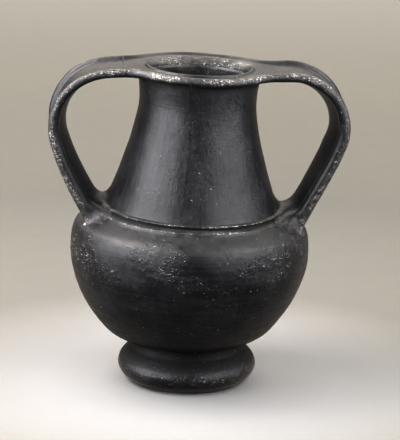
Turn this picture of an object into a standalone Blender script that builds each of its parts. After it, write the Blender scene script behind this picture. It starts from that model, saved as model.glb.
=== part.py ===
"""A black burnished earthenware amphora with a disc foot, a globular body, a collar at the shoulder, a tall neck,
a level lip and two broad strap handles.

Every piece is worked out upright, round its own axis, and then leaned: the pot's axis curves to +X as it rises.
The frame's origin is under the middle of the whole pot, in the plane it stands on. +X runs from handle to handle,
+Y to the back and +Z up. Lengths are in metres.
"""

import math

import bmesh
import bpy

for old in list(bpy.data.objects):
    bpy.data.objects.remove(old)

# The whole pot
SEGMENTS = 48  # facets round a turned piece
GAP = 0.0003  # clearance between two pieces that touch
WALL = 0.0065  # thickness of the thrown walls
FOOT_X = -0.0054  # the foot's centre, beside the middle of the handle span
MOUTH_Z = 0.250  # height of the seat under the lip
LEAN_SLOPE = 0.036  # how far the neck's axis moves to +X for each metre up
LEAN_START_Z = 0.040  # the pot is upright below this,
LEAN_END_Z = 0.180  # and leans by the full slope above this

# Foot
FOOT_HEIGHT = 0.0303
FOOT_WAIST_R = 0.0475
FOOT_RIM_R = 0.0560
FOOT_RIM_Z = 0.0125
RING_OUTER_R = 0.0435  # the standing ring
RING_INNER_R = 0.0375
FOOT_BORE_R = 0.0300  # the hole under the body's floor
FOOT_BORE_DEPTH = 0.0070
FOOT_DOME = (0.0350, 0.0160)  # (radius, height) half way up the hollow

# Body
BASE_R = 0.0470
BELLY_R = 0.0952
BELLY_Z = 0.107
SHOULDER_R = 0.0773  # where the shoulder meets the collar
SHOULDER_Z = 0.1382
SHOULDER_SEAT_R = 0.0625  # inner edge of the seat that the collar stands on
FLOOR_R = 0.0380  # where the floor inside starts to rise

# Collar
COLLAR_HEIGHT = 0.0062
COLLAR_RIDGE_R = 0.0712
COLLAR_BORE_R = 0.0610

# Neck
NECK_BASE_R = 0.0692
NECK_WAIST_R = 0.0462
NECK_WAIST_Z = 0.226
NECK_TOP_R = 0.0478

# Lip
LIP_R = 0.0565
LIP_BORE_R = 0.0390
MOUTH_RIDGE_R = 0.0412  # crest of the thin ridge round the mouth
LIP_SEAT_R = 0.0488  # outer edge of the face that stands on the neck
LIP_EDGE_HALF = 0.0012  # half the height of the facet at the middle of the rolled edge
ROLL_R = 0.0034  # radius of the roll that edges the lip and the straps
ROLL_Z = 0.2538  # height of the roll's centre
WEB_HALF = 0.0022  # half the thickness of the clay between the rolls
STRAP_START_X = 0.0600  # where a strap is joined to the lip
STRAP_HALF_WIDTH = 0.0300  # of a strap where it leaves the lip
SHOULDERING = 0.010  # how softly the lip's round plan runs out into the straps
LEFT_DROP = 0.0006  # how much lower the lip is where it runs into the left strap
RIGHT_RISE = 0.0016  # and how much higher where it runs into the right one

# Each strap's middle line, as (distance from the pot's axis, height), from the lip to the shoulder
LEFT_PATH = [
    (STRAP_START_X + GAP, ROLL_Z - LEFT_DROP),
    (0.0800, 0.2505),
    (0.0950, 0.2434),
    (0.1056, 0.2324),
    (0.1116, 0.2180),
    (0.1118, 0.2005),
    (0.1048, 0.1803),
    (0.0945, 0.1600),
    (0.0820, 0.1400),
    (0.0735, 0.1270),
]
RIGHT_PATH = [
    (STRAP_START_X + GAP, ROLL_Z + RIGHT_RISE),
    (0.0798, 0.2556),
    (0.0950, 0.2500),
    (0.1064, 0.2403),
    (0.1134, 0.2275),
    (0.1155, 0.2120),
    (0.1100, 0.1928),
    (0.1006, 0.1720),
    (0.0898, 0.1498),
    (0.0795, 0.1290),
]
LEFT_HALF_WIDTHS = [0.0300, 0.0300, 0.0270, 0.0260]
RIGHT_HALF_WIDTHS = [0.0300, 0.0270, 0.0250, 0.0260]
LEFT_ROLLS = [ROLL_R, 0.0036, 0.0052, 0.0064]  # radius of the edge rolls
RIGHT_ROLLS = [ROLL_R, 0.0044, 0.0052, 0.0064]
LEFT_DISHES = [0.0030, 0.0065, 0.0070]  # how deep the strap's outer face is dished
RIGHT_DISHES = [0.0030, 0.0070, 0.0040]

# Clay colours and roughness
BURNISHED = ((0.019, 0.019, 0.020), 0.38)
RUBBED = ((0.022, 0.023, 0.023), 0.42)
DUSTY = ((0.030, 0.029, 0.027), 0.48)


def lean(point):
    """A point of the upright pot, moved to where it is on the leaning one."""
    x, y, z = point
    stretch = LEAN_END_Z - LEAN_START_Z
    share = min(max((z - LEAN_START_Z) / stretch, 0), 1)
    slope = LEAN_SLOPE * (3 * share**2 - 2 * share**3)
    offset = LEAN_SLOPE * (stretch * (share**3 - share**4 / 2) + max(z - LEAN_END_Z, 0))
    return (FOOT_X + x + offset, y, z - x * slope)


def through(points, per_span):
    """A smooth curve through the points (centripetal Catmull-Rom), with per_span steps between neighbours."""

    def extended(a, b):
        return tuple(2 * p - q for p, q in zip(a, b))

    knots = [extended(points[0], points[1]), *points, extended(points[-1], points[-2])]
    curve = []
    for p0, p1, p2, p3 in zip(knots, knots[1:], knots[2:], knots[3:]):
        t0 = 0.0
        t1 = t0 + math.sqrt(math.dist(p0, p1))
        t2 = t1 + math.sqrt(math.dist(p1, p2))
        t3 = t2 + math.sqrt(math.dist(p2, p3))
        for step in range(per_span):
            t = t1 + (t2 - t1) * step / per_span

            def mix(a, b, ta, tb):
                return tuple(((tb - t) * u + (t - ta) * v) / (tb - ta) for u, v in zip(a, b))

            a1, a2, a3 = mix(p0, p1, t0, t1), mix(p1, p2, t1, t2), mix(p2, p3, t2, t3)
            b1, b2 = mix(a1, a2, t0, t2), mix(a2, a3, t1, t3)
            curve.append(mix(b1, b2, t1, t2))
    curve.append(tuple(points[-1]))
    return curve


def inset(outline, depth):
    """The outline moved inward, towards the axis side, by depth."""
    moved = []
    for i, (r, z) in enumerate(outline):
        before = outline[max(i - 1, 0)]
        after = outline[min(i + 1, len(outline) - 1)]
        along = (after[0] - before[0], after[1] - before[1])
        length = math.hypot(*along)
        moved.append((r - depth * along[1] / length, z + depth * along[0] / length))
    return moved


def new_object(name, mesh_builder, finish):
    """One named object from a bmesh, leaned, shaded smooth and given its own material, whose finish is a colour and
    a roughness."""
    color, roughness = finish
    for vertex in mesh_builder.verts:
        vertex.co = lean(vertex.co)
    bmesh.ops.recalc_face_normals(mesh_builder, faces=mesh_builder.faces)
    mesh = bpy.data.meshes.new(name)
    mesh_builder.to_mesh(mesh)
    mesh_builder.free()
    mesh.shade_smooth()
    mesh.set_sharp_from_angle(angle=math.radians(40))
    clay = bpy.data.materials.new(name + "_clay")
    clay.use_nodes = True
    shader = clay.node_tree.nodes["Principled BSDF"]
    shader.inputs["Base Color"].default_value = (*color, 1.0)
    shader.inputs["Roughness"].default_value = roughness
    shader.inputs["Metallic"].default_value = 0.0
    mesh.materials.append(clay)
    made = bpy.data.objects.new(name, mesh)
    bpy.context.scene.collection.objects.link(made)
    return made


def turned(outline):
    """A bmesh turned round the axis from a closed outline of (radius, height) points. A point on the axis, at
    radius 0, becomes one vertex."""
    builder = bmesh.new()
    rings = []
    for r, z in outline:
        if r == 0:
            rings.append([builder.verts.new((0, 0, z))] * SEGMENTS)
            continue
        turns = [2 * math.pi * k / SEGMENTS for k in range(SEGMENTS)]
        rings.append([builder.verts.new((r * math.cos(a), r * math.sin(a), z)) for a in turns])
    for lower, upper in zip(rings, rings[1:] + rings[:1]):
        for k in range(SEGMENTS):
            corners = (lower[k - 1], lower[k], upper[k], upper[k - 1])
            face = list(dict.fromkeys(corners))
            if len(face) > 2:
                builder.faces.new(face)
    return builder


def foot_outer():
    """The foot's side, from its seat under the body down to the standing ring."""
    seat = (FOOT_WAIST_R, FOOT_HEIGHT)
    flare = (FOOT_WAIST_R + 0.0043, FOOT_RIM_Z + 0.0098)
    brow = (FOOT_RIM_R - 0.0008, FOOT_RIM_Z + 0.0040)
    rim = (FOOT_RIM_R, FOOT_RIM_Z)
    under = (FOOT_RIM_R - 0.0024, FOOT_RIM_Z / 2)
    heel = (RING_OUTER_R + 0.0036, FOOT_RIM_Z * 0.20)
    return through([seat, flare, brow, rim, under, heel, (RING_OUTER_R, 0)], 2)


def body_outer():
    """The body's side, from its base up to the collar."""
    base = (BASE_R, FOOT_HEIGHT + GAP)
    low = (0.70 * BELLY_R, 0.0450)
    middle = (0.858 * BELLY_R, 0.0650)
    high = (0.962 * BELLY_R, 0.0870)
    belly = (BELLY_R, BELLY_Z)
    shoulder = (0.968 * BELLY_R, 0.1280)
    return through([base, low, middle, high, belly, shoulder, (SHOULDER_R, SHOULDER_Z)], 3)


def collar_outer():
    """The collar's side, from its foot on the shoulder, up over the groove to the ridge and the neck's seat."""
    z = SHOULDER_Z + GAP
    foot = (SHOULDER_R - 0.0004, z)
    band = (COLLAR_RIDGE_R + 0.0028, z + 0.0027)
    groove = (COLLAR_RIDGE_R - 0.0004, z + 0.0036)
    ridge = (COLLAR_RIDGE_R, z + 0.0050)
    return [foot, band, groove, ridge, (NECK_BASE_R + 0.0002, z + COLLAR_HEIGHT)]


def neck_outer():
    """The neck's side, from the collar up to the lip."""
    base_z = SHOULDER_Z + COLLAR_HEIGHT + 2 * GAP
    low = (0.0603, 0.1690)
    high = (0.0513, 0.1990)
    waist = (NECK_WAIST_R, NECK_WAIST_Z)
    return through([(NECK_BASE_R, base_z), low, high, waist, (NECK_TOP_R, MOUTH_Z - GAP)], 3)


def make_foot():
    """A thrown ring, hollow under the body's floor."""
    crown = (FOOT_BORE_R, FOOT_HEIGHT)
    bore = (FOOT_BORE_R, FOOT_HEIGHT - FOOT_BORE_DEPTH)
    rise = (RING_INNER_R - 0.0022, FOOT_RIM_Z / 2)
    outline = foot_outer() + [(RING_INNER_R, 0), rise, FOOT_DOME, bore, crown]
    return new_object("foot", turned(outline), RUBBED)


def make_body():
    """A thrown shell: a floor on the foot, a round belly and a shoulder that the collar stands on."""
    outer = body_outer()
    floor = FOOT_HEIGHT + GAP + WALL
    inner = [p for p in inset(outer, WALL) if p[1] > floor + WALL / 2 and p[0] > SHOULDER_SEAT_R]
    seat = (SHOULDER_SEAT_R, SHOULDER_Z)
    under_seat = (SHOULDER_SEAT_R, SHOULDER_Z - WALL)
    hollow = [p for p in reversed(inner) if p[1] < under_seat[1] or p[0] > SHOULDER_R]
    outline = [(0, outer[0][1])] + outer + [seat, under_seat] + hollow + [(FLOOR_R, floor), (0, floor)]
    return new_object("body", turned(outline), BURNISHED)


def make_collar():
    """The moulding that covers the joint between body and neck."""
    z = SHOULDER_Z + GAP
    outline = collar_outer() + [(COLLAR_BORE_R, z + COLLAR_HEIGHT), (SHOULDER_SEAT_R, z)]
    return new_object("collar", turned(outline), RUBBED)


def make_neck():
    """A thrown tube that narrows upward and flares a little under the lip."""
    outer = neck_outer()
    inner = inset(outer, WALL)
    inner[0] = (outer[0][0] - WALL, outer[0][1])
    inner[-1] = (outer[-1][0] - WALL, outer[-1][1])
    return new_object("neck", turned(outer + inner[::-1]), BURNISHED)


def lip_half_depth(x):
    """Half the lip's depth in plan: round in the middle, running out into the straps' width."""
    round_part = math.sqrt(max(LIP_R**2 - x**2, 0))
    difference = round_part - STRAP_HALF_WIDTH
    return STRAP_HALF_WIDTH + (difference + math.hypot(difference, SHOULDERING)) / 2


def edge_distance(x, y):
    """How far a point of the lip is from the edge in front of it or behind it."""
    step = 0.0005
    slope = (lip_half_depth(x + step) - lip_half_depth(x - step)) / (2 * step)
    return (lip_half_depth(x) - abs(y)) / math.hypot(1, slope)


def edge_lift(x):
    """How much higher the lip's outer part is at x than over the pot's axis."""
    share = min(max((abs(x) - MOUTH_RIDGE_R / 2) / (STRAP_START_X - MOUTH_RIDGE_R / 2), 0), 1)
    return (RIGHT_RISE if x > 0 else -LEFT_DROP) * (3 * share**2 - 2 * share**3)


def roll_rise(distance):
    """Half the clay's thickness at a distance from the edge: a round roll, then the flat web."""
    if distance >= 2 * ROLL_R:
        return WEB_HALF
    return max(WEB_HALF if distance > ROLL_R else 0, math.sqrt(ROLL_R**2 - (ROLL_R - distance) ** 2))


def lip_plan():
    """The lip's outline in plan, anticlockwise: flat ends where the straps join, curved edges between them."""
    end_y = lip_half_depth(STRAP_START_X)
    across, along = 6, 18
    right = [(STRAP_START_X, end_y * (2 * k / across - 1)) for k in range(across)]
    turns = [math.pi * k / along for k in range(along + 1)]
    back = [(STRAP_START_X * math.cos(a), lip_half_depth(STRAP_START_X * math.cos(a))) for a in turns[:-1]]
    half = right + back
    return half + [(-x, -y) for x, y in half]


def make_lip():
    """A flat ring of clay with a rolled edge, a shallow groove and a thin raised ridge round the mouth."""
    builder = bmesh.new()
    corner_y = lip_half_depth(STRAP_START_X)
    loops = []
    for x, y in lip_plan():
        length = math.hypot(x, y)
        away = (x / length, y / length)
        flat_end = abs(abs(x) - STRAP_START_X) < 1e-6 and abs(y) < corner_y - 1e-6
        ridge_top = ROLL_Z + ROLL_R - 0.0004

        def at(radius, z):
            return builder.verts.new((away[0] * radius, away[1] * radius, z))

        def rise(radius):
            return roll_rise(max(edge_distance(away[0] * radius, away[1] * radius), 0.0004))

        edge = rise(length) if flat_end else LIP_EDGE_HALF
        middle_z = ROLL_Z + edge_lift(x)
        radii = [length - ROLL_R * 0.35, length - ROLL_R, length - 2 * ROLL_R]
        loop = [at(length, middle_z - edge), at(length, middle_z + edge)]
        loop += [at(radius, middle_z + rise(radius)) for radius in radii]
        loop += [at(MOUTH_RIDGE_R + 0.0018, ROLL_Z + WEB_HALF)]
        loop += [at(MOUTH_RIDGE_R, ridge_top), at(LIP_BORE_R, ridge_top - 0.0008)]
        loop += [at(NECK_TOP_R - WALL, MOUTH_Z), at(LIP_SEAT_R, MOUTH_Z)]
        loop += [at(radius, middle_z - rise(radius)) for radius in (radii[1], radii[0])]
        loops.append(loop)
    for this, following in zip(loops, loops[1:] + loops[:1]):
        for k in range(len(this)):
            builder.faces.new((this[k - 1], this[k], following[k], following[k - 1]))
    return new_object("lip", builder, DUSTY)


def strap_section(half_width, roll, dish):
    """A strap's section, as (across, outward) points: a roll along each edge and a web dished between them."""
    reach = half_width - roll
    steps = [-1, -0.6, 0, 0.6, 1]
    outer = [(reach * s, roll - dish * math.cos(s * math.pi / 2)) for s in steps]
    inner = [(reach * s, -roll - (dish - 0.35 * roll) * math.cos(s * math.pi / 2)) for s in reversed(steps)]
    ends = [math.pi / 4, 0, -math.pi / 4]
    far_end = [(reach + roll * math.cos(a), roll * math.sin(a)) for a in ends]
    near_end = [(-reach - roll * math.cos(a), roll * math.sin(a)) for a in reversed(ends)]
    return outer + far_end + inner + near_end


def blend(values, share):
    """A value read from an evenly spaced list, from its first entry at share 0 to its last at share 1."""
    place = share * (len(values) - 1)
    index = min(int(place), len(values) - 2)
    return values[index] + (values[index + 1] - values[index]) * (place - index)


def make_handle(name, side, path, half_widths, rolls, dishes):
    """A strap that arches out from the lip and comes down on the shoulder. The path lists (distance from the
    axis, height) of the strap's middle line, and the other lists run evenly along it."""
    line = through(path, 3)
    builder = bmesh.new()
    rings = []
    for i, (x, z) in enumerate(line):
        share = i / (len(line) - 1)
        before, after = line[max(i - 1, 0)], line[min(i + 1, len(line) - 1)]
        along = (after[0] - before[0], after[1] - before[1])
        if i == 0:
            along = (1, 0)
        length = math.hypot(*along)
        outward = (-along[1] / length, along[0] / length)
        section = strap_section(blend(half_widths, share), blend(rolls, share), blend(dishes, share))
        ring = [builder.verts.new((side * (x + v * outward[0]), u, z + v * outward[1])) for u, v in section]
        rings.append(ring)
    for this, following in zip(rings, rings[1:]):
        for k in range(len(this)):
            builder.faces.new((this[k - 1], this[k], following[k], following[k - 1]))
    builder.faces.new(rings[0])
    builder.faces.new(rings[-1][::-1])
    strap = new_object(name, builder, DUSTY)
    cut = strap.modifiers.new("fitted_to_shoulder", "BOOLEAN")
    cut.operation = "DIFFERENCE"
    cut.solver = "EXACT"
    cut.object = bpy.data.objects["shoulder_cutter"]
    return strap


def make_shoulder_cutter():
    """The outside of body, collar and neck in one solid, a gap larger all round, which the straps end on."""
    side = body_outer()[3:] + collar_outer()[1:2] + collar_outer()[3:] + neck_outer()[1:-3]
    grown = inset(side, -GAP)
    outline = [(0, grown[0][1])] + grown + [(0, grown[-1][1])]
    cutter = new_object("shoulder_cutter", turned(outline), BURNISHED)
    cutter.hide_render = True
    cutter.display_type = "WIRE"
    return cutter


make_foot()
make_body()
make_collar()
make_neck()
make_lip()
make_shoulder_cutter()

make_handle("handle_left", -1, LEFT_PATH, LEFT_HALF_WIDTHS, LEFT_ROLLS, LEFT_DISHES)
make_handle("handle_right", 1, RIGHT_PATH, RIGHT_HALF_WIDTHS, RIGHT_ROLLS, RIGHT_DISHES)
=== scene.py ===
"""The finished look of the black burnished amphora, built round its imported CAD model.

The turned pieces (foot, body, collar, neck) are fine lathe meshes. The lip and the two strap handles are
modelled as distance fields, so that rolls, dished straps and smeared clay joints run smoothly into each
other, and each is then meshed as a closed solid of its own. Shapes are worked out in millimetres on the
upright pot, round its own axis, and then leaned and put into the frame. Colour, sheen, scratches and specks
are procedural.
"""

import math

import bpy
import numpy as np
from mathutils import Matrix, Vector


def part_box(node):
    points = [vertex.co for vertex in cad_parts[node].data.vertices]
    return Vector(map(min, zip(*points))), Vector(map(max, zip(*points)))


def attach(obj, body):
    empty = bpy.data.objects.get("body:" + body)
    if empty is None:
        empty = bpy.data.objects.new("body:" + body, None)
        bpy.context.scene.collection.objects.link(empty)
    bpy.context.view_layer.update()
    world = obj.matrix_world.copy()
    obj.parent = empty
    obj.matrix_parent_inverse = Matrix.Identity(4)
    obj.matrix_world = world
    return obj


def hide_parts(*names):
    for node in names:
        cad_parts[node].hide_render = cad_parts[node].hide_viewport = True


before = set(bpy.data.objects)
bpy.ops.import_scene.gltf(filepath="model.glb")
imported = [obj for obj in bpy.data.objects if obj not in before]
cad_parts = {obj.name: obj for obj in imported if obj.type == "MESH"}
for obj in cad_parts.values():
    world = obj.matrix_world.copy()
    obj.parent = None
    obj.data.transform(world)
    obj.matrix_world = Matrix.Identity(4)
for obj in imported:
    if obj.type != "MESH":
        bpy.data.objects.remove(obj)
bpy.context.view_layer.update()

MM = 0.001


def box_mm(node):
    """A CAD node's lowest and highest corners, in millimetres."""
    return [[c / MM for c in corner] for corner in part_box(node)]


foot_box, body_box, neck_box, lip_box = (box_mm(n) for n in ("foot", "body", "neck", "lip"))

WAIST_RISE = 5.6  # the foot's waist runs up this far into the body's rounded bottom

# Driving dimensions, in millimetres, read from the frame
FOOT_X = (foot_box[0][0] + foot_box[1][0]) / 2  # the foot's axis
FOOT_RIM_R = (foot_box[1][0] - foot_box[0][0]) / 2
FOOT_TOP = foot_box[1][2] + WAIST_RISE
BELLY_R = (body_box[1][1] - body_box[0][1]) / 2
BODY_BASE = body_box[0][2] + WAIST_RISE
NECK_BASE_R = (neck_box[1][1] - neck_box[0][1]) / 2
LIP_R = (lip_box[1][1] - lip_box[0][1]) / 2 - 0.9  # the blend into the straps adds as much again
STRAP_START = 60.0  # distance from the axis at which a strap is joined to the lip

# The lean of the pot's axis to +X, as in the frame
LEAN_SLOPE = 0.036
LEAN_START = 40.0
LEAN_END = 180.0

# Turned sizes
BELLY_Z = 107.0
SHOULDER_R, SHOULDER_Z = 77.3, 138.2
RIDGE_R, RIDGE_Z = 71.5, 143.8
NECK_WAIST_R, NECK_WAIST_Z = 46.2, 226.0
NECK_TOP_R = 47.8
SEAT_Z = 250.0  # where the neck ends and the lip begins
WALL = 6.5

# Lip and straps
ROLL_R = 3.4  # radius of the roll along their edges
ROLL_Z = 253.8  # height of its centre round the lip
WEB_HALF = 2.3
BORE_R = 39.0
MOUTH_RIDGE_R = 41.3
STRAP_WIDTH = 30.0  # half of a strap's width where it leaves the lip
SHOULDERING = 10.0  # how softly the lip's plan runs out into the straps

WRAP_R = 60.0  # radius at which the turned pieces' clay pattern is wound round the pot
FINE = 1.0  # mesh spacing is this many times the final one


def lean(points):
    """Points of the upright pot, in millimetres, as places in the frame, in metres."""
    x, y, z = points[:, 0], points[:, 1], points[:, 2]
    stretch = LEAN_END - LEAN_START
    share = np.clip((z - LEAN_START) / stretch, 0, 1)
    slope = LEAN_SLOPE * (3 * share**2 - 2 * share**3)
    offset = LEAN_SLOPE * (stretch * (share**3 - share**4 / 2) + np.maximum(z - LEAN_END, 0))
    return np.stack([FOOT_X + x + offset, y, z - x * slope], axis=1) * MM


def smooth_step(low, high, value):
    share = np.clip((value - low) / (high - low), 0, 1)
    return share * share * (3 - 2 * share)


def through(points, spacing):
    """A smooth curve through the points (centripetal Catmull-Rom), about spacing apart."""
    knots = np.array(points, float)
    knots = np.vstack([2 * knots[0] - knots[1], knots, 2 * knots[-1] - knots[-2]])
    curve = []
    for p0, p1, p2, p3 in zip(knots, knots[1:], knots[2:], knots[3:]):
        t1 = math.dist(p0, p1) ** 0.5
        t2 = t1 + math.dist(p1, p2) ** 0.5
        t3 = t2 + math.dist(p2, p3) ** 0.5
        steps = max(2, round(math.dist(p1, p2) / spacing))
        t = np.linspace(t1, t2, steps, endpoint=False)[:, None]
        a1 = ((t1 - t) * p0 + t * p1) / t1
        a2 = ((t2 - t) * p1 + (t - t1) * p2) / (t2 - t1)
        a3 = ((t3 - t) * p2 + (t - t2) * p3) / (t3 - t2)
        b1 = ((t2 - t) * a1 + t * a2) / t2
        b2 = ((t3 - t) * a2 + (t - t1) * a3) / (t3 - t1)
        curve.append(((t2 - t) * b1 + (t - t1) * b2) / (t2 - t1))
    return np.vstack(curve + [knots[-2:-1]])


def inset(outline, depth):
    """A turned outline moved depth towards the inside of the clay."""
    along = np.gradient(outline, axis=0)
    along /= np.linalg.norm(along, axis=1)[:, None]
    return outline + depth * np.stack([-along[:, 1], along[:, 0]], axis=1)


def hand_wobble(x, y, z):
    """The small unevenness of a hand-made pot, from -1 to 1, smooth over a few centimetres."""
    return (
        np.sin(x / 19 + z / 31 + 0.7) * np.sin(y / 17 - z / 23 + 1.9)
        + 0.6 * np.sin(x / 9.3 - y / 11 + z / 8.1 + 4.1) * np.sin(z / 13 + y / 29)
    ) / 1.6


# ---------------------------------------------------------------- outlines of the turned pieces


def foot_outline():
    """(radius, height) from the seat under the body, down the side and up the hollow."""
    side = through(
        [
            (45.0, FOOT_TOP),
            (45.3, 31.5),
            (46.9, 27.6),
            (50.0, 24.4),
            (53.2, 20.9),
            (FOOT_RIM_R - 0.8, 17.0),
            (FOOT_RIM_R, 12.8),
            (FOOT_RIM_R - 1.8, 8.0),
            (50.4, 3.6),
            (45.6, 0.8),
            (43.8, 0.0),
        ],
        0.7 * FINE,
    )
    hollow = through(
        [(37.5, 0.0), (36.0, 1.2), (35.4, 6.0), (34.0, 16.0), (30.0, 23.3), (30.0, FOOT_TOP)],
        2.5,
    )
    return np.vstack([side, hollow])


def body_side():
    """(radius, height) up the body's outside, from its base to the collar."""
    return through(
        [
            (45.0, BODY_BASE),
            (51.5, BODY_BASE + 0.7),
            (57.0, 38.6),
            (61.8, 41.4),
            (0.70 * BELLY_R, 45.0),
            (0.858 * BELLY_R, 65.0),
            (0.962 * BELLY_R, 87.0),
            (BELLY_R, BELLY_Z),
            (0.968 * BELLY_R, 128.0),
            (SHOULDER_R, SHOULDER_Z),
        ],
        1.2 * FINE,
    )


def collar_side():
    """(radius, height) up the collar: a low band, a groove and a thin proud ridge under the neck."""
    band = through(
        [(79.6, 136.2), (78.0, 137.7), (76.6, 138.9), (76.0, 139.9), (75.2, 140.4), (74.0, 140.6)],
        0.4,
    )
    groove = through([(72.2, 141.4), (70.6, 142.0), (70.1, 142.6), (70.8, 143.1)], 0.3)
    ridge = through([(RIDGE_R, RIDGE_Z), (71.6, 144.4), (70.6, 144.8), (NECK_BASE_R - 1.0, 145.6)], 0.3)
    return np.vstack([band, groove, ridge])


def neck_side():
    """(radius, height) up the neck's outside."""
    return through(
        [
            (NECK_BASE_R + 0.3, 144.3),
            (66.6, 151.0),
            (60.3, 169.0),
            (51.3, 199.0),
            (NECK_WAIST_R, NECK_WAIST_Z),
            (NECK_TOP_R, SEAT_Z),
        ],
        1.2 * FINE,
    )


# ---------------------------------------------------------------- making meshes


def add_piece(name, points, faces, body_node, marks, turned=False):
    """A mesh object from upright points in millimetres. marks gives the wear, the painted shade (darkening
    painted where shade falls) and the lime at each point, from 0 to 1, which are kept as attributes that the
    clay's material reads. On a turned piece, the attribute "wrapped" is the place round the axis at one radius,
    so that strokes run evenly round the pot."""
    mesh = bpy.data.meshes.new(name)
    mesh.from_pydata(lean(points).tolist(), [], faces.tolist() if hasattr(faces, "tolist") else faces)
    mesh.validate()
    mesh.update()
    mesh.shade_smooth()
    turn = np.arctan2(points[:, 1], points[:, 0])
    wrapped = np.stack([WRAP_R * np.cos(turn), WRAP_R * np.sin(turn), points[:, 2]], axis=1)
    for layer_name, values in (("upright", points), ("wrapped", wrapped if turned else points)):
        layer = mesh.attributes.new(layer_name, "FLOAT_VECTOR", "POINT")
        layer.data.foreach_set("vector", np.asarray(values, np.float32).ravel())
    for layer_name, values in zip(("wear", "painted_shade", "lime"), marks):
        layer = mesh.attributes.new(layer_name, "FLOAT", "POINT")
        layer.data.foreach_set("value", np.asarray(values, np.float32))
    piece = bpy.data.objects.new(name, mesh)
    bpy.context.scene.collection.objects.link(piece)
    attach(piece, "root")
    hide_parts(body_node)
    return piece


def turned_piece(name, node, outline, segments, wobble, marked):
    """A closed turned outline of (radius, height) points made into a solid. Points at radius 0 become one
    vertex. marked(radius, height) gives the wear, painted shade and lime at each point."""
    turns = 2 * np.pi * np.arange(segments) / segments
    points, rings = [], []
    for r, z in outline:
        start = len(points)
        if r < 1e-6:
            points.append((0.0, 0.0, z))
            rings.append(np.full(segments, start))
            continue
        x, y = r * np.cos(turns), r * np.sin(turns)
        uneven = 1 + wobble * hand_wobble(x, y, np.full(segments, z)) / r
        points.extend(zip(x * uneven, y * uneven, np.full(segments, z)))
        rings.append(np.arange(start, start + segments))
    faces = []
    for lower, upper in zip(rings, rings[1:] + rings[:1]):
        for k in range(segments):
            corners = (lower[k - 1], lower[k], upper[k], upper[k - 1])
            face = list(dict.fromkeys(int(c) for c in corners))
            if len(face) > 2:
                faces.append(face)
    points = np.array(points)
    radius = np.hypot(points[:, 0], points[:, 1])
    return add_piece(name, points, faces, node, marked(radius, points[:, 2]), turned=True)


def surface_net(field, low, high, step):
    """The zero surface of a field (negative inside) as points and outward quads, by naive surface nets,
    with every point then moved onto the surface."""
    axes = [np.arange(a, b + step, step) for a, b in zip(low, high)]
    grid = np.stack(np.meshgrid(*axes, indexing="ij"), axis=-1)
    shape = grid.shape[:3]
    values = field(grid.reshape(-1, 3)).reshape(shape)
    inside = values < 0
    cells = tuple(n - 1 for n in shape)
    corners = [(i, j, k) for i in (0, 1) for j in (0, 1) for k in (0, 1)]
    count = np.zeros(cells, int)
    for i, j, k in corners:
        count += inside[i : i + cells[0], j : j + cells[1], k : k + cells[2]]
    active = np.argwhere((count > 0) & (count < 8))
    number = np.full(cells, -1)
    number[tuple(active.T)] = np.arange(len(active))
    total = np.zeros((len(active), 3))
    hits = np.zeros(len(active))
    for corner in corners:
        for axis in range(3):
            if corner[axis]:
                continue
            start = np.array(corner)
            end = start.copy()
            end[axis] = 1
            a = values[tuple((active + start).T)]
            b = values[tuple((active + end).T)]
            crossed = (a < 0) != (b < 0)
            share = np.where(crossed, a / np.where(crossed, a - b, 1), 0)
            total += crossed[:, None] * (start + share[:, None] * (end - start))
            hits += crossed
    points = np.array([ax[0] for ax in axes]) + step * (active + total / hits[:, None])
    faces = []
    for axis in range(3):
        first, second = (axis + 1) % 3, (axis + 2) % 3
        here = np.moveaxis(inside, (axis, first, second), (0, 1, 2))
        cell = np.moveaxis(number, (axis, first, second), (0, 1, 2))
        flips = np.argwhere(here[:-1, 1:-1, 1:-1] != here[1:, 1:-1, 1:-1])
        i, j, k = flips.T
        quad = np.stack([cell[i, j, k], cell[i, j + 1, k], cell[i, j + 1, k + 1], cell[i, j, k + 1]], axis=1)
        leaving = here[i, j + 1, k + 1]
        quad[~leaving] = quad[~leaving][:, ::-1]
        faces.append(quad)
    return onto_surface(field, points, 0.4 * step), np.vstack(faces)


def onto_surface(field, points, stride):
    """The points moved onto the field's zero surface, in three moves of at most a stride."""
    for _ in range(3):
        value = field(points)
        slope = gradient(field, points)
        move = -(value / np.maximum((slope**2).sum(axis=1), 0.05))[:, None] * slope
        length = np.linalg.norm(move, axis=1)[:, None]
        points = points + move * np.minimum(1, stride / np.maximum(length, 1e-9))
    return points


def gradient(field, points):
    """The field's slope at each point."""
    reach = 0.15
    slope = np.empty_like(points)
    for axis in range(3):
        offset = np.zeros(3)
        offset[axis] = reach
        slope[:, axis] = (field(points + offset) - field(points - offset)) / (2 * reach)
    return slope


# ---------------------------------------------------------------- distance fields


class Chart:
    """Values on an even 2-D grid, read between its points."""

    def __init__(self, low, step, values):
        self.low, self.step, self.values = np.array(low, float), step, values

    def read(self, a, b):
        """The values at (a, b), interpolated."""
        i = np.clip((a - self.low[0]) / self.step, 0, self.values.shape[0] - 1.001)
        j = np.clip((b - self.low[1]) / self.step, 0, self.values.shape[1] - 1.001)
        i0, j0 = i.astype(int), j.astype(int)
        u, v = i - i0, j - j0
        grid = self.values
        near = grid[i0, j0] * (1 - v) + grid[i0, j0 + 1] * v
        far = grid[i0 + 1, j0] * (1 - v) + grid[i0 + 1, j0 + 1] * v
        return near * (1 - u) + far * u


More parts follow.
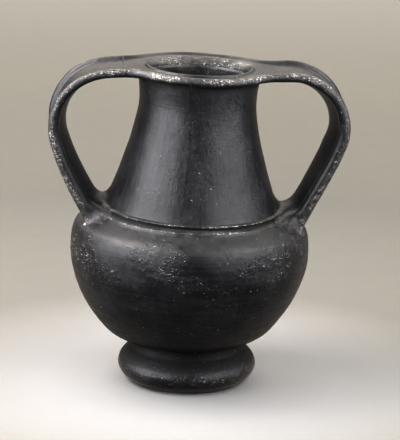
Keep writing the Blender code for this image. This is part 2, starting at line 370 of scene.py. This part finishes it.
def nearest_on(line, low, high, step):
    """For a grid of 2-D points: the distance to a polyline, positive on its left, and the length along it."""
    a_axis = np.arange(low[0], high[0] + step, step)
    b_axis = np.arange(low[1], high[1] + step, step)
    a, b = np.meshgrid(a_axis, b_axis, indexing="ij")
    best = np.full(a.shape, np.inf)
    side = np.zeros(a.shape)
    along = np.zeros(a.shape)
    length = 0.0
    for start, end in zip(line, line[1:]):
        d = end - start
        size = np.hypot(*d)
        t = np.clip(((a - start[0]) * d[0] + (b - start[1]) * d[1]) / size**2, 0, 1)
        away_a, away_b = a - start[0] - t * d[0], b - start[1] - t * d[1]
        distance = np.hypot(away_a, away_b)
        leftward = (d[0] * away_b - d[1] * away_a) / size
        # Where a corner is nearest, the segment that is seen more squarely gives the side
        tie = np.abs(distance - best) < 1e-9
        closer = np.where(tie, np.abs(leftward) > np.abs(side), distance < best)
        best[closer] = distance[closer]
        side[closer] = leftward[closer]
        along[closer] = (length + t * size)[closer]
        length += size
    return best * np.where(side < 0, -1, 1), along


def smooth_min(a, b, reach):
    """The smaller of two distances, rounded off where they are within reach of each other."""
    share = np.clip(0.5 + 0.5 * (b - a) / reach, 0, 1)
    return b + (a - b) * share - reach * share * (1 - share)


def smooth_max(a, b, reach):
    return -smooth_min(-a, -b, reach)


# The strap line, as (x, height): from the left root up to the lip, across it and down to the right root
LEFT_ARCH = [
    (-66.0, 114.0),
    (-73.5, 127.0),
    (-82.0, 140.0),
    (-94.5, 160.0),
    (-104.8, 180.3),
    (-111.8, 200.5),
    (-111.6, 218.0),
    (-105.6, 232.4),
    (-95.0, 243.4),
    (-80.0, 250.5),
    (-60.3, 253.2),
]
LIP_LINE = [(-30.0, ROLL_Z), (30.0, ROLL_Z)]
RIGHT_ARCH = [
    (60.3, 255.4),
    (79.8, 255.6),
    (95.0, 250.0),
    (106.4, 240.3),
    (113.4, 227.5),
    (115.5, 212.0),
    (110.0, 192.8),
    (100.6, 172.0),
    (89.8, 149.8),
    (79.5, 129.0),
    (71.5, 113.0),
]
strap_line = through(LEFT_ARCH + LIP_LINE + RIGHT_ARCH, 0.8)
strap_lengths = np.concatenate([[0], np.cumsum(np.linalg.norm(np.diff(strap_line, axis=0), axis=1))])
lip_middle = np.interp(0, strap_line[:, 0], strap_lengths)


# Sizes of the straps, listed evenly from the lip's edge down each of them
LEFT_WIDTHS = [STRAP_WIDTH, 30.0, 27.5, 26.0, 27.0]
RIGHT_WIDTHS = [STRAP_WIDTH, 27.5, 25.0, 25.0, 27.0]
LEFT_ROLLS = [ROLL_R, 3.5, 4.4, 5.2, 6.2]
RIGHT_ROLLS = [ROLL_R, 4.2, 4.8, 5.2, 6.4]
LEFT_DISHES = [2.0, 4.0, 6.5, 7.0, 6.0]
RIGHT_DISHES = [2.0, 5.0, 7.0, 5.5, 4.0]


def along_strap(left_values, right_values, station):
    """Reads values listed as above, at a length from the lip's middle, which is negative on the left."""
    arm_left = lip_middle - STRAP_START
    arm_right = strap_lengths[-1] - lip_middle - STRAP_START
    left_at = -STRAP_START - np.linspace(0, arm_left, len(left_values))
    right_at = STRAP_START + np.linspace(0, arm_right, len(right_values))
    places = np.concatenate([left_at[::-1], right_at])
    return np.interp(station, places, list(left_values[::-1]) + list(right_values))


def half_width(station):
    """Half the width in plan: the lip's round, running out into the straps."""
    strap = along_strap(LEFT_WIDTHS, RIGHT_WIDTHS, station)
    round_part = np.sqrt(np.maximum(LIP_R**2 - station**2, 0))
    difference = round_part - strap
    return strap + (difference + np.hypot(difference, SHOULDERING)) / 2


def plate_charts():
    """Charts of the strap's own coordinates: outward offset and station by (x, height), and the distance in
    from the edge by (station, depth)."""
    low, high, step = (-132, 104), (132, 268), 1.0
    offset, length = nearest_on(strap_line, low, high, step)
    stations = np.linspace(-lip_middle, strap_lengths[-1] - lip_middle, 500)
    edge = np.stack([stations, half_width(stations)], axis=1)
    inward, _ = nearest_on(edge[::-1], (stations[0], 0), (stations[-1], 66), step)
    station = length - lip_middle
    return Chart(low, step, offset), Chart(low, step, station), Chart((stations[0], 0), step, inward)


offset_chart, station_chart, edge_chart = plate_charts()


def pot_chart():
    """The distance to the outside of body, collar and neck, by (radius, height), negative under the
    surface. Deep in the hollow its sign can't be trusted."""
    side = np.vstack([body_side()[8:], collar_side()[1:], neck_side(), [(0.0, SEAT_Z)]])
    low, high, step = (0, 90), (124, 268), 0.8
    distance, _ = nearest_on(side, low, high, step)
    return Chart(low, step, -distance)


outside_chart = pot_chart()


def plate_coordinates(points):
    """Outward offset, station and distance in from the edge, for points near the lip or a strap."""
    x, y, z = points[:, 0], points[:, 1], points[:, 2]
    offset = offset_chart.read(x, z)
    station = station_chart.read(x, z)
    inward = edge_chart.read(station, np.abs(y))
    return offset, station, inward


def plate_field(points):
    """The lip and straps as one sheet of clay: a roll along each edge and a thinner web dished between."""
    x, y, z = points[:, 0], points[:, 1], points[:, 2]
    offset, station, inward = plate_coordinates(points)
    uneven = hand_wobble(x * 1.7, y * 1.7, z * 1.7)
    roll = along_strap(LEFT_ROLLS, RIGHT_ROLLS, station) + 0.25 * uneven
    dish = along_strap(LEFT_DISHES, RIGHT_DISHES, station)
    width = half_width(station)
    on_lip = 1 - smooth_step(40, 66, np.abs(station))
    depth = np.clip((inward - roll) / np.maximum(width - roll, 1), 0, 1)
    strap_dish = dish * np.sin(depth * np.pi / 2) + 1.3 * (1 - np.exp(-np.maximum(inward - roll, 0) / 1.5))
    lip_dish = 0.9 * (1 - np.exp(-np.maximum(inward - roll, 0) / 3))
    web_middle = -(strap_dish * (1 - on_lip) + lip_dish * on_lip)
    web_half = WEB_HALF + (0.62 * roll - WEB_HALF) * (1 - on_lip)
    edge_roll = np.hypot(inward - roll, offset - 0.12 * uneven) - roll
    web = np.maximum(np.abs(offset - web_middle) - web_half, 0.8 * roll - inward)
    return smooth_min(edge_roll, web, 1.6)


def pot_field(points):
    """The distance to the outside of body, collar and neck."""
    return outside_chart.read(np.hypot(points[:, 0], points[:, 1]), points[:, 2])


SKIN = 1.2  # how far a luted piece reaches into the clay under it
OVERLAP = 0.4  # how far lip and strap run into each other
SPREAD = 0.78  # the share of a fillet's reach that is filled before it ends in a low step
LEFT_NOTCH, RIGHT_NOTCH = 11.0, 15.0  # extra reach of the fillet at the bottom of each loop
# No part of a strap is nearer the axis than CORE_R, and under CORE_TOP this limit grows by CORE_SPREAD for each
# millimetre down. It drops stray bits of the field, deep in the hollow.
CORE_R = 59.0
CORE_SPREAD = 0.6
CORE_TOP = RIDGE_Z + 3.2


def lip_field(points):
    """The lip: the middle of the sheet, with the mouth, the raised ridge round it and a fillet onto the
    neck. At the back the ridge is worn away and the mouth opens like a funnel."""
    radius = np.hypot(points[:, 0], points[:, 1])
    z = points[:, 2]
    neck = pot_field(points)
    plate = plate_field(points)
    fillet = 3.5
    field = smooth_min(plate, neck, fillet)
    field = np.maximum(field, plate - SPREAD * fillet)
    towards_back = smooth_step(-5, 40, points[:, 1])
    ridge = np.hypot(radius - MOUTH_RIDGE_R, z - (ROLL_Z + 1.9)) - (1.5 - 1.2 * towards_back)
    field = smooth_min(field, ridge, 1.4)
    funnel = 10.5 * towards_back * smooth_step(SEAT_Z, ROLL_Z + 3.5, z)
    field = smooth_max(field, BORE_R + funnel - radius, 2.0)
    field = np.maximum(field, -(neck + SKIN))
    return np.maximum(field, np.abs(points[:, 0]) - STRAP_START - OVERLAP)


def strap_field(points):
    """A strap, with the clay that is smeared out round its lower end, cut off at the lip and round the
    pot's core."""
    plate = plate_field(points)
    pot = pot_field(points)
    offset = offset_chart.read(points[:, 0], points[:, 2])
    notch = np.where(points[:, 0] < 0, LEFT_NOTCH, RIGHT_NOTCH) * smooth_step(-2, 8, -offset)
    lumps = 1.8 * hand_wobble(1.4 * points[:, 1], 1.4 * points[:, 0], 1.4 * points[:, 2])
    reach = 5.5 + notch + lumps
    field = smooth_min(plate, pot, reach)
    field = np.maximum(field, plate - SPREAD * reach)
    field = np.maximum(field, -(pot + SKIN))
    core = CORE_R + CORE_SPREAD * np.maximum(CORE_TOP - points[:, 2], 0)
    field = np.maximum(field, core - np.hypot(points[:, 0], points[:, 1]))
    return np.maximum(field, STRAP_START - OVERLAP - np.abs(points[:, 0]))


def plate_marks(points):
    """Marks on the lip and straps: wear along the crest of the rolls, painted shade under the lip, and lime on
    the clay at the straps' lower ends and on the back of the mouth."""
    offset, station, inward = plate_coordinates(points)
    crest = np.exp(-(((inward - 0.6) / 2.6) ** 2)) * smooth_step(-2.5, 2.0, offset)
    pot = pot_field(points)
    root = smooth_step(5, 1.5, pot) * smooth_step(14, 4, np.abs(inward)) * (points[:, 2] < 145)
    radius = np.hypot(points[:, 0], points[:, 1])
    mouth = smooth_step(LIP_R - 4, BORE_R + 5, radius) * smooth_step(5, 25, points[:, 1])
    mouth *= 0.25 + 0.75 * smooth_step(-34, -14, points[:, 0])
    # Painted shade under the lip's roll
    under = smooth_step(ROLL_Z - 1, ROLL_Z - 4, points[:, 2]) * (np.abs(station) < STRAP_START)
    return np.clip(crest, 0, 1), under, np.maximum(0.5 * root, mouth)


# ---------------------------------------------------------------- the pieces


def make_foot():
    def marked(radius, height):
        wear = 0.4 * np.exp(-(((radius - FOOT_RIM_R) / 1.6) ** 2)) * smooth_step(4, 12, height)
        # The second mark is painted shade: the foot's top under the belly and its lowest edge are darkened
        return wear, smooth_step(16, 21, height) + smooth_step(5, 2, height), 0 * height

    return turned_piece("amphora_foot", "foot", foot_outline(), round(320 / FINE), 0.5, marked)


def make_body():
    def marked(radius, height):
        # Painted shade on the rounded bottom over the foot
        return 0 * height, 0.8 * smooth_step(44, 37, height), 0 * height

    outer = body_side()
    floor = BODY_BASE + WALL
    inner = inset(outer, WALL)
    inner = inner[(inner[:, 1] > floor + 3) & (inner[:, 1] < SHOULDER_Z - WALL)][:: round(4 / FINE)]
    top = [(62.5, SHOULDER_Z), (62.5, SHOULDER_Z - WALL)]
    outline = np.vstack([[(0, BODY_BASE)], outer, top, inner[::-1], [(38.0, floor), (0, floor)]])
    return turned_piece("amphora_body", "body", outline, round(400 / FINE), 0.45, marked)


def make_collar():
    def marked(radius, height):
        ridge = np.exp(-(((height - RIDGE_Z - 0.2) / 0.5) ** 2))
        band = 0.6 * np.exp(-(((height - 140.0) / 0.4) ** 2))
        # The groove's mark is painted shade
        groove = np.exp(-(((height - 142.2) / 0.6) ** 2))
        outside = smooth_step(66, 70, radius)
        return np.clip(ridge + band, 0, 1) * outside, groove * outside, 0 * height

    seat = [(61.0, 145.6), (62.5, SHOULDER_Z), (SHOULDER_R - 1, SHOULDER_Z - 1)]
    outline = np.vstack([collar_side(), seat])
    return turned_piece("amphora_collar", "collar", outline, round(400 / FINE), 0.45, marked)


def make_neck():
    outer = neck_side()
    inner = inset(outer, WALL)
    inner[0] = (outer[0][0] - WALL, outer[0][1])
    inner[-1] = (outer[-1][0] - WALL, outer[-1][1])
    inner[:, 0] -= (inner[-1][0] - BORE_R) * smooth_step(NECK_WAIST_Z, SEAT_Z, inner[:, 1])
    outline = np.vstack([outer, inner[:: -round(3 / FINE)]])

    def marked(radius, height):
        inside = radius < NECK_WAIST_R - 3
        # Painted shade: under the lip outside, and deeper down inside the neck
        under_lip = smooth_step(243, 248, height)
        depth = smooth_step(245, 232, height)
        return 0 * height, np.where(inside, depth, under_lip), 0.4 * (1 - depth) * inside

    return turned_piece("amphora_neck", "neck", outline, round(360 / FINE), 0.45, marked)


def make_lip():
    low, high = (-STRAP_START - 2, -LIP_R - 4, SEAT_Z - 8), (STRAP_START + 2, LIP_R + 4, ROLL_Z + 8)
    points, faces = surface_net(lip_field, low, high, 0.75 * FINE)
    return add_piece("amphora_lip", points, faces, "lip", plate_marks(points))


def make_strap(name, node, side):
    near, far = side * (STRAP_START - 2), side * 126
    low = (min(near, far), -47, 108)
    high = (max(near, far), 47, 264)
    points, faces = surface_net(strap_field, low, high, 0.9 * FINE)
    return add_piece(name, points, faces, node, plate_marks(points))


foot = make_foot()
body = make_body()
collar = make_collar()
neck = make_neck()
lip = make_lip()
left_strap = make_strap("amphora_handle_left", "handle_left", -1)
right_strap = make_strap("amphora_handle_right", "handle_right", 1)


# ---------------------------------------------------------------- the clay


class Nodes:
    """Short ways to add shader nodes to a material or the world. Most methods return an output socket."""

    def __init__(self, owner, shader="Principled BSDF"):
        owner.use_nodes = True
        self.tree = owner.node_tree
        self.shader = self.tree.nodes[shader]

    def add(self, kind, inputs=(), **settings):
        node = self.tree.nodes.new(kind)
        for name, value in settings.items():
            setattr(node, name, value)
        for name, value in dict(inputs).items():
            self.put(node.inputs[name], value)
        return node

    def put(self, socket, value):
        if isinstance(value, bpy.types.NodeSocket):
            self.tree.links.new(value, socket)
        else:
            socket.default_value = value

    def math(self, operation, *values, clamp=False):
        node = self.add("ShaderNodeMath", operation=operation, use_clamp=clamp)
        for socket, value in zip(node.inputs, values):
            self.put(socket, value)
        return node.outputs[0]

    def attribute(self, name, output):
        return self.add("ShaderNodeAttribute", attribute_name=name).outputs[output]

    def stretched(self, vector, scale):
        """The vector scaled differently along each axis."""
        node = self.add("ShaderNodeVectorMath", operation="MULTIPLY")
        self.put(node.inputs[0], vector)
        self.put(node.inputs[1], scale)
        return node.outputs[0]

    def moved(self, vector, offset):
        node = self.add("ShaderNodeVectorMath", operation="ADD")
        self.put(node.inputs[0], vector)
        self.put(node.inputs[1], offset)
        return node.outputs[0]

    def noise(self, vector, scale, detail=3.0, roughness=0.55):
        inputs = {"Vector": vector, "Scale": scale, "Detail": detail, "Roughness": roughness}
        return self.add("ShaderNodeTexNoise", inputs).outputs["Fac"]

    def step(self, value, low, high):
        """0 below low, 1 above high and smooth between. Turned round if low is above high."""
        inputs = {"Value": value, "From Min": low, "From Max": high}
        return self.add("ShaderNodeMapRange", inputs, interpolation_type="SMOOTHSTEP").outputs["Result"]

    def band(self, value, middle, half):
        """1 at the middle, falling smoothly to 0 at half on each side of it."""
        away = self.math("ABSOLUTE", self.math("SUBTRACT", value, middle))
        return self.step(away, half, 0.0)

    def spots(self, vector, scale, size, share):
        """Round specks of uneven size in a share of the cells of a Voronoi pattern."""
        inputs = {"Vector": vector, "Scale": scale, "Randomness": 1.0}
        cells = self.add("ShaderNodeTexVoronoi", inputs)
        pick = self.add("ShaderNodeSeparateColor", {"Color": cells.outputs["Color"]}).outputs
        reach = self.math("MULTIPLY", size, pick[0])
        speck = self.step(cells.outputs["Distance"], reach, self.math("MULTIPLY", reach, 0.4))
        return self.math("MULTIPLY", speck, self.math("LESS_THAN", pick[1], share))

    def hairs(self, vector, scale, width, share):
        """Fine wandering scratches: the thin lines on which a noise is half way, kept only here and there."""
        level = self.noise(vector, scale, 1.5)
        line = self.band(level, 0.5, width)
        kept = self.step(self.noise(vector, scale * 1.7, 0.0), 1 - share, 1 - share + 0.08)
        return self.math("MULTIPLY", line, kept)

    def sum(self, *terms):
        total = terms[0]
        for term in terms[1:]:
            total = self.math("ADD", total, term)
        return total

    def scaled(self, value, factor):
        return self.math("MULTIPLY", value, factor)

    def product(self, *factors):
        total = factors[0]
        for factor in factors[1:]:
            total = self.math("MULTIPLY", total, factor)
        return total

    def mix(self, amount, under, over):
        """The colour over laid on the colour under by an amount."""
        node = self.add("ShaderNodeMix", data_type="RGBA")
        self.put(node.inputs[0], amount)
        for socket, colour in ((node.inputs[6], under), (node.inputs[7], over)):
            self.put(socket, colour if isinstance(colour, bpy.types.NodeSocket) else (*colour, 1.0))
        return node.outputs[2]


BLACK_CLAY = (0.0068, 0.0068, 0.0078)
GREY_CLAY = (0.0135, 0.0140, 0.0160)
GREEN_FILM = (0.0185, 0.0205, 0.0205)
SCRATCH = (0.060, 0.059, 0.056)
BROWN_DUST = (0.040, 0.036, 0.030)
GREEN_DUST = (0.022, 0.0235, 0.022)
WORN_CLAY = (0.033, 0.0325, 0.0315)
LIME = (0.026, 0.026, 0.025)
CRUST = (0.33, 0.32, 0.295)
# Near-black colour of painted shade, laid where shade falls
PAINTED_SHADE_BLACK = (0.0016, 0.0016, 0.0020)
PATCH_OFFSET = (30.0, 0.0, 0.0)  # moves the scuffed patches to where they suit the belly


def clay(name, stretch, film, dust, dust_colour, crust, flecks, roughness):
    """Burnished black clay. stretch shapes the burnishing strokes along each axis. film, dust, crust and
    flecks say how much green-grey film, settled dust, pale crust on worn edges and pale flecks there are."""
    material = bpy.data.materials.new(name)
    n = Nodes(material)
    upright = n.attribute("upright", "Vector")
    wrapped = n.attribute("wrapped", "Vector")
    wear, painted_shade, lime = (n.attribute(mark, "Fac") for mark in ("wear", "painted_shade", "lime"))
    height = n.add("ShaderNodeSeparateXYZ", {"Vector": upright}).outputs["Z"]
    normal = n.add("ShaderNodeNewGeometry").outputs["Normal"]
    upward = n.add("ShaderNodeSeparateXYZ", {"Vector": normal}).outputs["Z"]

    clouds = n.noise(upright, 0.040, 4.0, 0.6)
    patches = n.noise(n.moved(upright, PATCH_OFFSET), 0.026, 3.0, 0.6)
    mottle = n.noise(upright, 0.15, 5.0, 0.68)
    speckle = n.noise(upright, 0.80, 4.0, 0.7)
    grain = n.noise(upright, 1.6, 2.0, 0.6)
    strokes = n.noise(n.stretched(wrapped, stretch), 1.0, 4.0, 0.6)
    turning = n.noise(n.stretched(wrapped, (0.006, 0.006, 0.5)), 1.0, 2.0, 0.5)
    wrinkles = n.noise(n.stretched(wrapped, (0.14, 0.14, 0.42)), 1.0, 4.0, 0.65)

    # Masks, from 0 to 1
    above_belly = n.step(height, 55.0, 100.0)
    filmed = n.product(n.step(clouds, 0.38, 0.64), n.step(mottle, 0.30, 0.70), above_belly, film)
    shoulder = n.product(n.band(height, 140.0, 14.0), n.step(mottle, 0.30, 0.66), 0.4 * film)
    settled = n.product(n.step(upward, 0.45, 0.95), n.step(mottle, 0.25, 0.70), dust)
    on_belly = n.math("MAXIMUM", n.band(height, 114.0, 36.0), 0.35)
    scuffed = n.product(n.step(patches, 0.44, 0.55), n.step(mottle, 0.36, 0.56), on_belly)
    crusted = n.product(
        n.math("MAXIMUM", wear, n.scaled(lime, 0.6)),
        n.step(clouds, 0.40, 0.62),
        n.step(mottle, 0.35, 0.60),
        n.step(speckle, 0.50, 0.64),
        crust,
    )
    fleck_places = n.math("ADD", scuffed, n.scaled(wear, 0.6), clamp=True)
    chips = n.noise(n.stretched(wrapped, (0.42, 0.42, 0.75)), 1.0, 4.0, 0.7)
    flecked = n.product(
        n.sum(
            n.step(n.sum(chips, n.scaled(fleck_places, 0.10)), 0.69, 0.75),
            n.step(n.sum(speckle, n.scaled(fleck_places, 0.085)), 0.69, 0.75),
            n.spots(upright, 0.36, 0.22, 0.05),
        ),
        flecks,
    )
    scratched = n.product(
        n.sum(
            n.hairs(n.stretched(wrapped, (0.20, 0.20, 0.07)), 1.0, 0.012, 0.34),
            n.hairs(n.stretched(wrapped, (0.06, 0.08, 0.24)), 1.0, 0.012, 0.34),
            n.hairs(n.stretched(upright, (0.17, 0.07, 0.15)), 1.0, 0.014, 0.42),
        ),
        n.step(mottle, 0.35, 0.60),
    )
    pits = n.spots(upright, 0.30, 0.30, 0.14)
    pale = n.math("ADD", crusted, flecked, clamp=True)
    limed = n.product(lime, n.step(mottle, 0.36, 0.62))

    clay_tone = n.math("ADD", n.scaled(strokes, 0.9), n.scaled(n.math("SUBTRACT", clouds, 0.5), 1.4))
    colour = n.mix(n.step(clay_tone, 0.25, 0.85), BLACK_CLAY, GREY_CLAY)
    colour = n.mix(n.math("ADD", filmed, shoulder, clamp=True), colour, GREEN_FILM)
    colour = n.mix(settled, colour, dust_colour)
    # Painted shade: the colour goes towards black where shade falls, under the belly and the lip, in grooves
    # and deep in the neck
    colour = n.mix(n.scaled(painted_shade, 0.8), colour, PAINTED_SHADE_BLACK)
    colour = n.mix(n.product(wear, n.step(speckle, 0.30, 0.60)), colour, WORN_CLAY)
    colour = n.mix(n.scaled(limed, 0.8), colour, LIME)
    colour = n.mix(n.scaled(scratched, 0.5), colour, SCRATCH)
    colour = n.mix(pale, colour, CRUST)
    n.put(n.shader.inputs["Base Color"], colour)
    n.shader.inputs["Specular IOR Level"].default_value = 0.33

    dull = n.sum(
        roughness,
        n.scaled(n.math("SUBTRACT", strokes, 0.5), 0.42),
        n.scaled(n.math("SUBTRACT", mottle, 0.5), 0.25),
        n.scaled(settled, 0.25),
        n.scaled(painted_shade, 0.30),
        n.scaled(pale, 0.30),
    )
    n.put(n.shader.inputs["Roughness"], n.math("MINIMUM", n.math("MAXIMUM", dull, 0.22), 0.95))

    relief = n.sum(
        n.scaled(strokes, 0.55),
        n.scaled(turning, 0.45),
        n.scaled(mottle, 0.60),
        n.scaled(n.product(wrinkles, scuffed), 2.6),
        n.scaled(grain, 0.14),
        n.scaled(scratched, -0.25),
        n.scaled(pits, -0.9),
        n.scaled(pale, 0.30),
    )
    bump = n.add("ShaderNodeBump", {"Strength": 1.0, "Distance": 0.22 * MM, "Height": relief})
    n.put(n.shader.inputs["Normal"], bump.outputs["Normal"])
    return material


UPSTROKES = (0.40, 0.40, 0.016)
ROUND_STROKES = (0.02, 0.02, 0.34)
STRAP_STROKES = (0.04, 0.45, 0.04)

# Each clay's strokes, film, dust, dust's colour, crust, flecks and roughness
strap_clay = clay("handle_clay", STRAP_STROKES, 0.5, 0.2, BROWN_DUST, 1.8, 1.0, 0.44)
finishes = {
    foot: clay("foot_clay", ROUND_STROKES, 0.0, 0.3, GREEN_DUST, 0.8, 0.9, 0.33),
    body: clay("body_clay", ROUND_STROKES, 0.6, 0.3, GREEN_DUST, 0.5, 0.75, 0.43),
    collar: clay("collar_clay", ROUND_STROKES, 0.9, 0.6, GREEN_DUST, 5.0, 0.6, 0.42),
    neck: clay("neck_clay", UPSTROKES, 0.7, 0.3, GREEN_DUST, 0.8, 0.6, 0.42),
    lip: clay("lip_clay", STRAP_STROKES, 0.5, 0.2, BROWN_DUST, 2.2, 0.8, 0.44),
    left_strap: strap_clay,
    right_strap: strap_clay,
}
for piece, material in finishes.items():
    piece.data.materials.append(material)


# ---------------------------------------------------------------- floor, light and camera

NEUTRAL_PAPER = (1.0, 1.0, 0.98)
WARM_PAPER = (1.0, 0.98, 0.89)
# The floor's tint and its painted lightness, standing in for shade near the pot and brighter light far behind,
# at distances from the pot's axis, in metres
FLOOR_PAINTED_TONES = [
    (0.12, NEUTRAL_PAPER, 0.18),
    (0.25, WARM_PAPER, 0.12),
    (0.60, WARM_PAPER, 0.13),
    (1.20, WARM_PAPER, 0.23),
    (2.20, NEUTRAL_PAPER, 0.35),
    (3.40, NEUTRAL_PAPER, 0.74),
]


def make_floor():
    """A wide paper floor with painted light and shade: greyer near the pot and light far behind it."""
    mesh = bpy.data.meshes.new("studio_floor")
    half = 8.0
    corners = [(-half, -half, 0), (half, -half, 0), (half, half, 0), (-half, half, 0)]
    mesh.from_pydata(corners, [], [(0, 1, 2, 3)])
    floor = bpy.data.objects.new("studio_floor", mesh)
    bpy.context.scene.collection.objects.link(floor)
    material = bpy.data.materials.new("pale_paper")
    n = Nodes(material)
    place = n.add("ShaderNodeNewGeometry").outputs["Position"]
    distance = n.add("ShaderNodeVectorMath", {0: place}, operation="LENGTH").outputs["Value"]
    ramp = n.add("ShaderNodeValToRGB", {"Fac": n.scaled(distance, 1 / FLOOR_PAINTED_TONES[-1][0])})
    tones = ramp.color_ramp.elements
    while len(tones) < len(FLOOR_PAINTED_TONES):
        tones.new(1.0)
    for tone, (reach, tint, lightness) in zip(tones, FLOOR_PAINTED_TONES):
        tone.position = reach / FLOOR_PAINTED_TONES[-1][0]
        tone.color = (*(lightness * part for part in tint), 1.0)
    n.put(n.shader.inputs["Base Color"], ramp.outputs["Color"])
    n.put(n.shader.inputs["Roughness"], n.sum(0.75, n.scaled(n.noise(place, 40.0), 0.1)))
    n.shader.inputs["Specular IOR Level"].default_value = 0.2
    mesh.materials.append(material)
    floor.visible_glossy = False  # the world stands for it in reflections


def softbox(name, place, aim, size, power, colour):
    """A rectangular softbox at a place, facing another, that the camera doesn't see."""
    lamp = bpy.data.lights.new(name, "AREA")
    lamp.shape = "RECTANGLE"
    lamp.size, lamp.size_y = size
    lamp.energy = power
    lamp.color = colour
    holder = bpy.data.objects.new(name, lamp)
    holder.location = place
    holder.rotation_euler = (Vector(aim) - Vector(place)).to_track_quat("-Z", "Y").to_euler()
    holder.visible_camera = False
    bpy.context.scene.collection.objects.link(holder)
    return holder


def beside(azimuth, distance, height):
    """A place round the pot. Azimuth is measured from the camera's side, to the right."""
    turn = math.radians(azimuth)
    return (math.sin(turn) * distance, -math.cos(turn) * distance, height)


COOL_LIGHT = (0.97, 0.96, 1.0)
WARM_LIGHT = (1.0, 0.95, 0.92)
box_bottom, box_top = 0.09, 1.25
box_middle = (box_bottom + box_top) / 2
belly_middle = (0, 0, 0.13)

make_floor()
for name, azimuth, width, power, over_power in (
    ("left_softbox", -62, 0.72, 31, 22),
    ("right_softbox", 57, 0.78, 21, 10),
):
    size = (width, box_top - box_bottom)
    softbox(name, beside(azimuth, 0.62, box_middle), (0, 0, box_middle), size, power, COOL_LIGHT)
    overhead = beside(math.copysign(97, azimuth), 0.55, 0.85)
    softbox("over_" + name, overhead, belly_middle, (0.60, 0.60), over_power, WARM_LIGHT)
fill = softbox("front_fill", (0.9, -1.5, 1.1), (0, 0, 0.05), (1.6, 1.0), 32, (1.0, 0.99, 0.97))
fill.visible_glossy = False  # so that it makes no highlight
softbox("back_softbox", (0, 2.1, 1.7), (0, 1.6, 0), (3.0, 1.2), 62, (1.0, 0.95, 0.88))


def make_world():
    """Dim in front of the pot and brighter towards the back of the studio, less so just over the horizon.
    Below the horizon it stands for the floor in the pot's reflections."""
    world = bpy.data.worlds.new("studio")
    bpy.context.scene.world = world
    n = Nodes(world, "Background")
    direction = n.add("ShaderNodeTexCoord").outputs["Generated"]
    parts = n.add("ShaderNodeSeparateXYZ", {"Vector": direction}).outputs
    behind = n.step(parts["Y"], -0.6, 0.8)
    below = n.step(parts["Z"], 0.0, -0.15)
    from_floor = n.product(below, n.sum(0.06, n.scaled(behind, 0.30)))
    low = n.step(parts["Z"], 0.25, 0.05)
    haze = n.product(behind, n.sum(0.72, n.product(behind, n.scaled(low, -0.34))))
    n.put(n.shader.inputs["Strength"], n.sum(0.05, haze, from_floor))
    n.shader.inputs["Color"].default_value = (0.95, 0.86, 0.76, 1)


make_world()

CAMERA_AZIMUTH = math.radians(3.0)
CAMERA_ELEVATION = math.radians(14.8)
CAMERA_ROLL = math.radians(1.38)
CAMERA_DISTANCE = 1.85
FOCAL_LENGTH = 189.2  # millimetres, on a sensor 36 mm high
VIEW_MIDDLE = Vector((0.0029, 0.0, 0.1313))

forward = Vector(
    (
        math.sin(CAMERA_AZIMUTH) * math.cos(CAMERA_ELEVATION),
        math.cos(CAMERA_AZIMUTH) * math.cos(CAMERA_ELEVATION),
        -math.sin(CAMERA_ELEVATION),
    )
)
level = Vector((math.cos(CAMERA_AZIMUTH), -math.sin(CAMERA_AZIMUTH), 0))
upward = level.cross(forward)
across = level * math.cos(CAMERA_ROLL) + upward * math.sin(CAMERA_ROLL)
up = upward * math.cos(CAMERA_ROLL) - level * math.sin(CAMERA_ROLL)
lens = bpy.data.cameras.new("camera")
lens.lens = FOCAL_LENGTH
lens.sensor_fit = "VERTICAL"
lens.sensor_height = 36
camera = bpy.data.objects.new("camera", lens)
camera.matrix_world = Matrix.Translation(VIEW_MIDDLE - forward * CAMERA_DISTANCE) @ Matrix(
    (across, up, -forward)
).transposed().to_4x4()
bpy.context.scene.collection.objects.link(camera)
bpy.context.scene.camera = camera
bpy.context.scene.view_settings.view_transform = "Standard"
bpy.context.scene.view_settings.gamma = 0.68  # the contrast of a studio print
